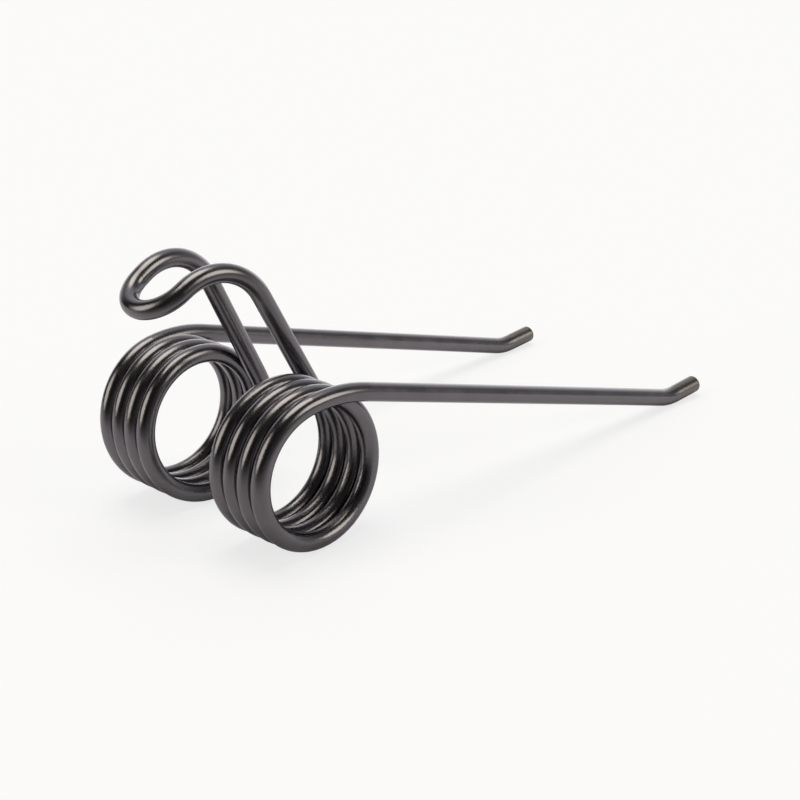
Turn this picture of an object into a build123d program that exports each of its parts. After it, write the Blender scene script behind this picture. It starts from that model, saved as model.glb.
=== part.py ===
from build123d import *
from math import acos, asin, atan2, cos, degrees, hypot, pi, radians, sin, tan
import os

# Baler pick-up tine: one length of round spring wire, wound and bent in a machine.
# Its middle is a narrow loop that a bolt clamps to the tine bar. From the loop the wire
# runs out over two shoulders, down two legs, round two spring coils and away as two
# long tines with hooked tips. Sizes are in millimetres and angles in degrees.
#
# The wire is laid out with the coil axis along Y and the tines pointing along +X.
# It is worked out for the half on the -Y side, and the other half is its mirror image.
# At the end the tine is turned about Y into the pose in which it lies on a flat floor,
# on its coils and on the knees of its tines.

# The wire
wire_d = 5.5                # diameter, with its coat
end_rounding = 1.1          # rounded edge of each cut end

# The two coils
coil_inner_d = 36.5         # bore of a coil
coil_gap = 0.6              # clear gap between neighbouring turns
coil_turns = 3.757          # turns at full radius, without the bends that lead out
coil_spacing = 51.0         # from the middle of one coil to the middle of the other

# The tines
tine_exit_angle = 25.0      # turn of the open bend that leads out of the coil
tine_exit_r = 45.0          # radius of that bend, to the middle of the wire
tine_splay = 0.15           # how far each tine points outwards
tine_length = 145.0         # from the coil axis to the corner of the knee
tip_angle = 22.0            # how far the tip turns up at the knee
tip_bend_r = 18.0
tip_length = 10.3           # straight part of the tip

# The legs
leg_exit_angle = 15.0       # turn of the open bend that leads out of the coil
leg_exit_r = 30.0
leg_lean_in = 2.4           # how far each leg leans towards the middle
leg_length = 56.2           # from the open bend to the corner of the shoulder

# The shoulders and the bolt loop
shoulder_angle = 94.3       # turn from the leg to the arm, seen from the side
shoulder_r = 17.0
arm_length = 29.1           # from the corner of the shoulder to the crown of the loop
loop_inner_w = 14.2         # clear width of the loop at its crown

# Sizes that follow from the ones above
wire_r = wire_d / 2
coil_r = (coil_inner_d + wire_d) / 2
coil_pitch = wire_d + coil_gap
loop_r = (loop_inner_w + wire_d) / 2


def heading(side_angle, outwards=0.0):
    """A unit vector at side_angle from +X towards +Z that leans outwards, to -Y."""
    flat = cos(radians(outwards))
    return Vector(
        flat * cos(radians(side_angle)),
        -sin(radians(outwards)),
        flat * sin(radians(side_angle)),
    )


def straight(start, direction, length):
    """A straight run of wire."""
    return Line(start, start + direction * length)


def bend(start, direction, new_direction, radius):
    """An arc that leaves start along direction and ends along new_direction."""
    half_turn = radians(direction.get_angle(new_direction)) / 2
    finish = start + (direction + new_direction) * (radius * tan(half_turn))
    return TangentArc(start, finish, tangent=direction)


# Coil: it turns from +X towards +Z on its way from the tine to the leg.
coil_start = 90 + tine_exit_angle
coil_finish = coil_start + 360 * coil_turns
coil_width = coil_pitch * coil_turns
coil_slope = degrees(atan2(coil_pitch, 2 * pi * coil_r))
coil_frame = Plane(
    origin=(0, -(coil_spacing + coil_width) / 2, 0),
    x_dir=heading(coil_start),
    z_dir=(0, 1, 0),
)
coil = coil_frame * Helix(coil_pitch, coil_width, coil_r, lefthand=True)

# Tine: an open bend out of the coil, a long straight run, the knee and the tip.
tine_way = heading(0, tine_splay)
tip_way = heading(tip_angle, tine_splay)
tine_exit = bend(coil @ 0, heading(coil_start - 90, coil_slope), tine_way, tine_exit_r)
knee_setback = tip_bend_r * tan(radians(tip_angle) / 2)
tine_run = (tine_length - (tine_exit @ 1).X) / tine_way.X - knee_setback
tine = straight(tine_exit @ 1, tine_way, tine_run)
knee = bend(tine @ 1, tine_way, tip_way, tip_bend_r)
tip = straight(knee @ 1, tip_way, tip_length)

# Leg: an open bend out of the coil, then a straight run up to the shoulder.
leg_angle = coil_finish + 90 + leg_exit_angle
leg_way = heading(leg_angle, -leg_lean_in)
leg_exit = bend(coil @ 1, heading(coil_finish + 90, -coil_slope), leg_way, leg_exit_r)
shoulder_corner = leg_exit @ 1 + leg_way * leg_length

# Arm: seen along the bolt, it runs from the corner of the shoulder to the circle of the
# loop and touches it, so the two arms close in by as much as the loop is narrower.
arm_angle = leg_angle + shoulder_angle
to_middle = -shoulder_corner.Y
to_loop_centre = hypot(to_middle, arm_length - loop_r)
loop_share = acos(loop_r / to_loop_centre)
arm_lean_in = degrees(loop_share - atan2(arm_length - loop_r, to_middle))
arm_way = heading(arm_angle, -arm_lean_in)
shoulder_setback = shoulder_r * tan(radians(leg_way.get_angle(arm_way)) / 2)
leg = straight(leg_exit @ 1, leg_way, leg_length - shoulder_setback)
shoulder = bend(leg @ 1, leg_way, arm_way, shoulder_r)
arm = straight(shoulder @ 1, arm_way, to_loop_centre * sin(loop_share) - shoulder_setback)
half_loop = bend(arm @ 1, arm_way, Vector(0, 1, 0), loop_r)

# The whole wire: a round section swept from one tip to the other.
half_route = Curve() + [tip, knee, tine, tine_exit, coil, leg_exit, leg, shoulder, arm, half_loop]
route = Wire(half_route.edges() + half_route.mirror(Plane.XZ).edges())
section = Plane(origin=route @ 0, z_dir=route % 0) * Circle(wire_r)
wire = sweep(section, route)
wire = fillet(wire.faces().filter_by(GeomType.PLANE).edges(), end_rounding)


def floor_slope(x, z, radius):
    """The slope of a floor that carries the coils and a round of radius at x and z."""
    return degrees(atan2(z, x) - asin((radius - coil_r - wire_r) / hypot(x, z)))


# Lying down, the tine rests on its coils and on whichever its floor meets first: the
# outside of each knee or, where a tip hardly turns up, the lower edge of its cut end.
knee_slope = floor_slope((knee @ 0).X, (knee @ 0).Z + tip_bend_r, tip_bend_r + wire_r)
tip_edge = tip @ 1 + heading(tip_angle - 90) * wire_r
tip_slope = floor_slope(tip_edge.X, tip_edge.Z, 0)
lying = Rot(Y=min(knee_slope, tip_slope)) * wire

# The origin is on the floor, under the middle of the tine.
box = lying.bounding_box()
spring_tine = Pos(-box.center().X, -box.center().Y, -box.min.Z) * lying

os.makedirs("parts", exist_ok=True)
export_step(spring_tine, "parts/spring_tine.step")
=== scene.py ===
# %% [markdown]
# # A baler's pick-up tine, dressed for its portrait
#
# The object is one length of round spring steel wire, bent into a narrow bolt loop, two legs,
# two close spring coils and two long tines with turned-up tips. Its shape is finished before
# this file starts: the file brings it in from model.glb as a mesh at its real size, and that mesh
# is never moved or edited here. So the lesson is about two things, the black coat on the wire and
# the studio that it reflects. A dark gloss shows little colour of its own. Nearly all that the eye
# reads on it is the room around it, so the lamps get as much care as the material.

from math import cos, pi, radians, sin

import bpy
from mathutils import Euler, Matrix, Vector


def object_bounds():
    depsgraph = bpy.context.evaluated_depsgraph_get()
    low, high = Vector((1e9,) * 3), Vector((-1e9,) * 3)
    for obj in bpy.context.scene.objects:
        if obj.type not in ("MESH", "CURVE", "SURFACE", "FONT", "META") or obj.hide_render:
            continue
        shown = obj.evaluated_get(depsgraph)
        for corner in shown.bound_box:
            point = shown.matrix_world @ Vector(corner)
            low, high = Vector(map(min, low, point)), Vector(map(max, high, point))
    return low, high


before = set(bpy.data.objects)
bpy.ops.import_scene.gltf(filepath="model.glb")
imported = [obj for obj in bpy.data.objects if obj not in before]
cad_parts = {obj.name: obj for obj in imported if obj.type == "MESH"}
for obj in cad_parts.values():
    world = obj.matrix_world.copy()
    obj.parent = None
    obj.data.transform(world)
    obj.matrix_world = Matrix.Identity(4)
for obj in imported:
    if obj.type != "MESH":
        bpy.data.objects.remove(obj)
cad_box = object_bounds()
MM = 0.001
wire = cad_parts["spring_tine"]
print("size in mm:", [round(side / MM, 1) for side in cad_box[1] - cad_box[0]])
print("wire mesh:", len(wire.data.polygons), "faces, custom normals:", wire.data.has_custom_normals)

# %% [markdown]
# ## The camera
#
# A product picture of a long thin part is taken from some way off with a long lens, so that the
# near coil isn't swollen against the far one. Blender could aim the camera with a Track To
# constraint, but a direction worked out from an azimuth and an elevation is easier to read, and
# the lamps can use it too. Azimuth 0 looks along +Y and 90 along -X. The small roll is real:
# the camera leaned a little to its right.

# %% A direction from an azimuth and an elevation
def looking(azimuth, elevation):
    """The direction in which a camera at that azimuth and elevation looks."""
    a, e = radians(azimuth), radians(elevation)
    return Vector((-sin(a) * cos(e), cos(a) * cos(e), -sin(e)))


print("azimuth 90 looks along", [round(c, 3) for c in looking(90, 0)])

# %% Place the camera
CAMERA_AZIMUTH = -41.50
CAMERA_ELEVATION = 21.58
CAMERA_ROLL = -2.82
CAMERA_DISTANCE = 593.99 * MM
AIM = Vector((-3.25, -3.16, 18.49)) * MM
SENSOR_WIDTH = 36.0  # Blender takes this and the lens in millimetres
LENS = 86.67

camera_data = bpy.data.cameras.new("camera")
camera_data.sensor_width = SENSOR_WIDTH
camera_data.lens = LENS
camera = bpy.data.objects.new("camera", camera_data)
bpy.context.scene.collection.objects.link(camera)
bpy.context.scene.camera = camera
view_direction = looking(CAMERA_AZIMUTH, CAMERA_ELEVATION)
camera.location = AIM - view_direction * CAMERA_DISTANCE
aimed = view_direction.to_track_quat("-Z", "Y")
camera.rotation_mode = "QUATERNION"
camera.rotation_quaternion = aimed @ Euler((0, 0, radians(CAMERA_ROLL))).to_quaternion()
print("camera at", [round(c / MM, 1) for c in camera.location], "mm")

# %% [markdown]
# ## Helpers for materials
#
# Colours are written as they look on a screen, in sRGB hex, but shaders work in linear light, so
# the first helper turns one into the other. The last one adds a node to a tree, with its settings
# and all that goes into it, in one call. So a material reads as a list of what it is made of.

# %% Colour helper
def linear(hex_colour):
    """An sRGB hex colour, such as #1E1D1C, as linear red, green, blue and alpha."""
    channels = [int(hex_colour[i:i + 2], 16) / 255 for i in (1, 3, 5)]
    return [c / 12.92 if c <= 0.04045 else ((c + 0.055) / 1.055) ** 2.4 for c in channels] + [1.0]


print("a screen's middle grey, #808080, is", round(linear("#808080")[0], 3), "of the light of white")

# %% Material and node helpers
def new_material(name):
    """An empty node material."""
    material = bpy.data.materials.new(name)
    material.use_nodes = True
    material.node_tree.nodes.clear()
    print("material", name)
    return material


def add(tree, kind, inputs=None, **settings):
    """Add a node. Each input is a value, an output, or a node, which stands for its first output."""
    node = tree.nodes.new(kind)
    for name, value in settings.items():
        setattr(node, name, value)
    for socket, value in (inputs or {}).items():
        if isinstance(value, bpy.types.Node):
            tree.links.new(value.outputs[0], node.inputs[socket])
        elif isinstance(value, bpy.types.NodeSocket):
            tree.links.new(value, node.inputs[socket])
        else:
            node.inputs[socket].default_value = value
    return node


# %% [markdown]
# ## The floor
#
# The part lies on a white table, on the undersides of its coils and the knees of its tines.
# Paper is matt, so a plain diffuse shader is right. It is a trace blue, so that it comes out
# neutral under lamps that are a trace warm. Lit by the lamps alone it is a little under white, so
# what the camera sees of it is lifted most of the way by a glow of its own. The rest stays lit
# paper and keeps the soft shadows.
#
# The wire mirrors the paper too, and half of what shows on it is that mirror image. There the
# paper is nearly all lit paper, since the shadow between the coils is what makes the backs of
# their turns dark. The mirrored paper also carries painted shade: its colour and its glow are
# darkened with its distance in front of the part, towards the camera, so the wire shows a darker
# floor on that side. The painted shade fades in smoothly, and no edge can show.

# %% How much of the paper glows
FLOOR_GLOW = 0.75
MIRRORED_GLOW = 0.06

paper = new_material("white_paper")
tree = paper.node_tree
rays = add(tree, "ShaderNodeLightPath").outputs
mirrored = rays["Is Glossy Ray"]
seen = add(tree, "ShaderNodeMath", {
    0: rays["Is Camera Ray"], 1: rays["Is Transmission Ray"],
}, operation="MAXIMUM")
seen_glow = add(tree, "ShaderNodeMath", {0: seen, 1: FLOOR_GLOW}, operation="MULTIPLY")
glow_share = add(tree, "ShaderNodeMath", {
    0: mirrored, 1: MIRRORED_GLOW, 2: seen_glow,
}, operation="MULTIPLY_ADD")
print("glow where the camera sees it:", FLOOR_GLOW, "and in the wire:", MIRRORED_GLOW)

# %% Painted shade on the mirrored paper, towards the camera
PAINTED_SHADE_DEEPEST_AT = -300 * MM
PAINTED_SHADE_ENDS_AT = 0.0
PAINTED_SHADE_LEVEL = 0.2

place = add(tree, "ShaderNodeTexCoord").outputs["Object"]
away = add(tree, "ShaderNodeVectorMath", {
    0: place, 1: looking(CAMERA_AZIMUTH, 0),
}, operation="DOT_PRODUCT")
# Painted shade: only where the wire mirrors the paper, its brightness falls towards the camera; every
# other ray sees it at full brightness.
mirrored_painted_shade = add(tree, "ShaderNodeMapRange", {
    "Value": away.outputs["Value"], "From Min": PAINTED_SHADE_DEEPEST_AT, "From Max": PAINTED_SHADE_ENDS_AT, "To Min": PAINTED_SHADE_LEVEL,
}, interpolation_type="SMOOTHSTEP")
not_mirrored = add(tree, "ShaderNodeMath", {0: 1.0, 1: mirrored}, operation="SUBTRACT")
brightness = add(tree, "ShaderNodeMath", {0: mirrored_painted_shade, 1: not_mirrored}, operation="MAXIMUM")
print("mirrored paper at", PAINTED_SHADE_LEVEL, "of its brightness", round(-PAINTED_SHADE_DEEPEST_AT / MM), "mm in front")

# %% Lit paper and its glow
FLOOR_COLOUR = "#F5F5FF"
GLOW_COLOUR = "#FFFFFF"

# The paper's colour and its glow are both scaled by that painted shade where the wire mirrors them.
colour = add(tree, "ShaderNodeVectorMath", {
    0: linear(FLOOR_COLOUR)[:3], "Scale": brightness,
}, operation="SCALE")
lit = add(tree, "ShaderNodeBsdfDiffuse", {"Color": colour})
glow = add(tree, "ShaderNodeEmission", {"Color": linear(GLOW_COLOUR), "Strength": brightness})
mixed = add(tree, "ShaderNodeMixShader", {0: glow_share, 1: lit, 2: glow})
add(tree, "ShaderNodeOutputMaterial", {"Surface": mixed})
print("paper of", len(tree.nodes), "nodes")

# %% Lay the floor
FLOOR_RADIUS = 30.0
FLOOR_SIDES = 96

angles = [radians(360 * side / FLOOR_SIDES) for side in range(FLOOR_SIDES)]
ring = [(FLOOR_RADIUS * cos(angle), FLOOR_RADIUS * sin(angle), 0) for angle in angles]
floor_mesh = bpy.data.meshes.new("floor")
floor_mesh.from_pydata(ring, [], [list(range(FLOOR_SIDES))])
floor_mesh.materials.append(paper)
floor = bpy.data.objects.new("floor", floor_mesh)
bpy.context.scene.collection.objects.link(floor)
print("floor of", FLOOR_RADIUS, "m radius, at z = 0")

# %% [markdown]
# ## The lamps
#
# Three soft lights stand round the table: a large one overhead and one low on each side, a little
# in front of the part. Each shows on the wire as one long pale streak, and where the streaks
# begin and end tells the eye that the wire is round. Area lamps would do, but a sun lamp with a
# wide angle lights the whole table evenly, as a softbox in a light tent does, and is mirrored in
# the wire as a disc of that width. The light is slightly warm.

# %% A soft lamp
LAMP_COLOUR = "#FFFBE8"


def soft_lamp(name, azimuth, elevation, width, brightness):
    """A round light as wide as an angle, whose face is brightness times a white sheet."""
    lamp = bpy.data.lights.new(name, "SUN")
    lamp.angle = radians(width)
    lamp.energy = brightness * pi * sin(radians(width / 2)) ** 2
    lamp.color = linear(LAMP_COLOUR)[:3]
    lamp_object = bpy.data.objects.new(name, lamp)
    bpy.context.scene.collection.objects.link(lamp_object)
    lamp_object.rotation_mode = "QUATERNION"
    lamp_object.rotation_quaternion = looking(azimuth, elevation).to_track_quat("-Z", "Y")
    print(name, "energy", round(lamp.energy, 2))


# %% Hang the three lamps
# Each lamp has a name, its side, elevation and width in degrees, and its brightness. A side of 0
# is straight behind the part as the camera sees it, and 90 is on the picture's left.
LAMPS = [
    ("overhead_softbox", 0, 85, 42, 3.6),
    ("left_softbox", 106, 25, 42, 2.5),
    ("right_softbox", -110, 22, 33, 3.4),
]

for name, side, elevation, width, brightness in LAMPS:
    soft_lamp(name, CAMERA_AZIMUTH + side + 180, elevation, width, brightness)

# %% [markdown]
# ## The room
#
# The rest of the studio is the world. A pale backdrop stands behind the part. It is brightest at
# the table, fades upwards as it bends away overhead, and is grey at its edges. The room on the
# camera's side is dark, and that dark is as needed as the lamps: it draws the black lines between
# the turns. Two ramps multiplied give the backdrop, one round the room and one up it.

# %% Which way a ray goes: round the room, and up
room = bpy.data.worlds.new("studio_room")
bpy.context.scene.world = room
room.use_nodes = True
tree = room.node_tree
tree.nodes.clear()
way = add(tree, "ShaderNodeTexCoord").outputs["Generated"]
leftwards, ahead, up = [
    add(tree, "ShaderNodeVectorMath", {0: way, 1: axis}, operation="DOT_PRODUCT").outputs["Value"]
    for axis in (looking(CAMERA_AZIMUTH + 90, 0), looking(CAMERA_AZIMUTH, 0), (0, 0, 1))
]
bearing = add(tree, "ShaderNodeMath", {0: leftwards, 1: ahead}, operation="ARCTAN2")
full_round = add(tree, "ShaderNodeMapRange", {"Value": bearing, "From Min": -pi, "From Max": pi})
print("the room is measured from the camera's azimuth,", CAMERA_AZIMUTH)

# %% The backdrop's brightness, round the room and up it
# Each stop has an angle in degrees, a side as for the lamps or an elevation, and a brightness.
BACKDROP_ROUND = [(-100, 0.04), (-62, 0.28), (-32, 1.0), (25, 1.0), (58, 0.0)]
BACKDROP_UP = [(0, 1.0), (15, 0.63), (30, 0.36), (50, 0.3), (75, 0.3), (89, 0.15)]

sideways, upwards = [add(tree, "ShaderNodeValToRGB", {"Fac": fac}) for fac in (full_round, up)]
for node, stops in (
    (sideways, [((side + 180) / 360, level) for side, level in BACKDROP_ROUND]),
    (upwards, [(sin(radians(elevation)), level) for elevation, level in BACKDROP_UP]),
):
    elements = node.color_ramp.elements
    node.color_ramp.interpolation = "EASE"
    while len(elements) < len(stops):
        elements.new(0.5)  # a new stop gets its real position below
    for element, (position, level) in zip(elements, stops):
        element.position = position
        element.color = (level, level, level, 1.0)
backdrop = add(tree, "ShaderNodeMath", {0: sideways, 1: upwards}, operation="MULTIPLY")
print("backdrop from", BACKDROP_ROUND[0][0], "to", BACKDROP_ROUND[-1][0], "degrees round the room")

# %% Light the room
BACKDROP_LEVEL = 2.2
DARK_LEVEL = 0.02

wall = add(tree, "ShaderNodeMapRange", {
    "Value": backdrop, "To Min": DARK_LEVEL, "To Max": BACKDROP_LEVEL,
})
air = add(tree, "ShaderNodeBackground", {"Color": wall, "Strength": 1.0})
add(tree, "ShaderNodeOutputWorld", {"Surface": air})
bpy.context.scene.view_settings.view_transform = "Standard"
print("the backdrop is", round(BACKDROP_LEVEL / DARK_LEVEL), "times as bright as the dark of the room")

# %% [markdown]
# ## The coat of the wire
#
# The wire is oil-tempered spring steel under a thin black coat, baked on after winding. Clear
# lacquer mirrors a twenty-fifth of the light that meets it square on. This coat mirrors about a
# sixth of it, as black iron oxide does, and shows nothing underneath. So it is made as a metal
# with a dark base colour, not as black paint under a gloss: the base colour is that sixth.
#
# Four things keep it from looking like plastic. Orange peel, the faint waviness of a coat that
# has flowed, unsettles the edges of the streaks. Cloudy patches make the gloss a little uneven.
# Dust that was baked in stands up as tiny nibs. And the tips, which were cropped and handled, are
# duller and a little browner, with a grainy skin. All patterns are measured in millimetres on the
# part. Only the nibs and the grain are drawn coarser than they are, at about twice their width,
# since a real one would be finer than a pixel.

# %% Patterns in the coat: clouds, orange peel and grain
CLOUD_SIZE = 7 * MM
CLOUD_FROM, CLOUD_TO = 0.35, 0.65  # the noise where a cloud begins and where it is full
PEEL_SIZE = 0.9 * MM
GRAIN_SIZE = 0.5 * MM

coat = new_material("black_coat_on_spring_steel")
tree = coat.node_tree
place = add(tree, "ShaderNodeTexCoord").outputs["Object"]
clouds, peel, grain = [
    add(tree, "ShaderNodeTexNoise", {"Vector": place, "Scale": 1 / size})
    for size in (CLOUD_SIZE, PEEL_SIZE, GRAIN_SIZE)
]
cloudy = add(tree, "ShaderNodeMapRange", {
    "Value": clouds, "From Min": CLOUD_FROM, "From Max": CLOUD_TO,
})
print("patterns of", [round(size / MM, 2) for size in (CLOUD_SIZE, PEEL_SIZE, GRAIN_SIZE)], "mm")

# %% Where the coat is worn: the last stretch of each tine
WORN_LENGTH = 13 * MM
WORN_EDGE = 5 * MM

along = add(tree, "ShaderNodeSeparateXYZ", {0: place})
worn_from = cad_box[1].x - WORN_LENGTH
worn = add(tree, "ShaderNodeMapRange", {
    "Value": along, "From Min": worn_from, "From Max": worn_from + WORN_EDGE,
}, interpolation_type="SMOOTHSTEP")
print("worn beyond x =", round(worn_from / MM, 1), "mm")

# %% Colour: cloudy patches, and worn ends browned in spots
COAT_COLOUR = "#6F6C71"
PALE_COLOUR = "#747176"
WORN_COLOUR = "#716B65"
SPOTS_FROM, SPOTS_TO = 0.3, 0.7  # the noise where a spot begins and where it is full
# A Mix node has sockets for every type of data. These are the numbers of its colour ones.
FIRST, SECOND, MIXED = 6, 7, 2

patches = add(tree, "ShaderNodeMix", {
    0: cloudy, FIRST: linear(COAT_COLOUR), SECOND: linear(PALE_COLOUR),
}, data_type="RGBA")
spots = add(tree, "ShaderNodeMapRange", {
    "Value": grain, "From Min": SPOTS_FROM, "From Max": SPOTS_TO,
})
worn_spots = add(tree, "ShaderNodeMath", {0: worn, 1: spots}, operation="MULTIPLY")
colour = add(tree, "ShaderNodeMix", {
    0: worn_spots, FIRST: patches.outputs[MIXED], SECOND: linear(WORN_COLOUR),
}, data_type="RGBA")
print("the coat mirrors", round(linear(COAT_COLOUR)[0], 3), "of the light that meets it square on")

# %% Gloss: a little duller in the patches and at the worn ends
COAT_ROUGHNESS = 0.22
CLOUD_ROUGHNESS = 0.05
WORN_ROUGHNESS = 0.08

clouded = add(tree, "ShaderNodeMath", {
    0: cloudy, 1: CLOUD_ROUGHNESS, 2: COAT_ROUGHNESS,
}, operation="MULTIPLY_ADD")
roughness = add(tree, "ShaderNodeMath", {
    0: worn, 1: WORN_ROUGHNESS, 2: clouded,
}, operation="MULTIPLY_ADD")
roughest = COAT_ROUGHNESS + CLOUD_ROUGHNESS + WORN_ROUGHNESS
print("roughness from", COAT_ROUGHNESS, "to", round(roughest, 2))

# %% Relief in metres: orange peel, nibs, and grain at the worn ends
PEEL_HEIGHT = 0.003 * MM
NIB_SPACING = 4.5 * MM
NIB_RADIUS = 0.18 * MM
NIB_HEIGHT = 0.06 * MM
GRAIN_HEIGHT = 0.02 * MM

cells = add(tree, "ShaderNodeTexVoronoi", {"Vector": place, "Scale": 1 / NIB_SPACING})
nibs = add(tree, "ShaderNodeMapRange", {
    "Value": cells, "From Max": NIB_RADIUS / NIB_SPACING, "To Min": 1.0, "To Max": 0.0,
}, interpolation_type="SMOOTHSTEP")
peel_relief = add(tree, "ShaderNodeMath", {0: peel, 1: PEEL_HEIGHT}, operation="MULTIPLY")
skin = add(tree, "ShaderNodeMath", {0: nibs, 1: NIB_HEIGHT, 2: peel_relief}, operation="MULTIPLY_ADD")
worn_grain = add(tree, "ShaderNodeMath", {0: worn, 1: grain}, operation="MULTIPLY")
relief = add(tree, "ShaderNodeMath", {0: worn_grain, 1: GRAIN_HEIGHT, 2: skin}, operation="MULTIPLY_ADD")
bump = add(tree, "ShaderNodeBump", {"Height": relief, "Distance": 1.0, "Strength": 1.0})
print("nibs", round(NIB_SPACING / MM, 1), "mm apart and", round(2 * NIB_RADIUS / MM, 2), "mm wide")

# %% Put the coat on the wire
shader = add(tree, "ShaderNodeBsdfPrincipled", {
    "Base Color": colour.outputs[MIXED],
    "Metallic": 1.0,
    "Roughness": roughness,
    "Normal": bump,
})
add(tree, "ShaderNodeOutputMaterial", {"Surface": shader})
for slot in wire.material_slots:
    slot.material = coat
print("coat on", len(wire.material_slots), "slot")
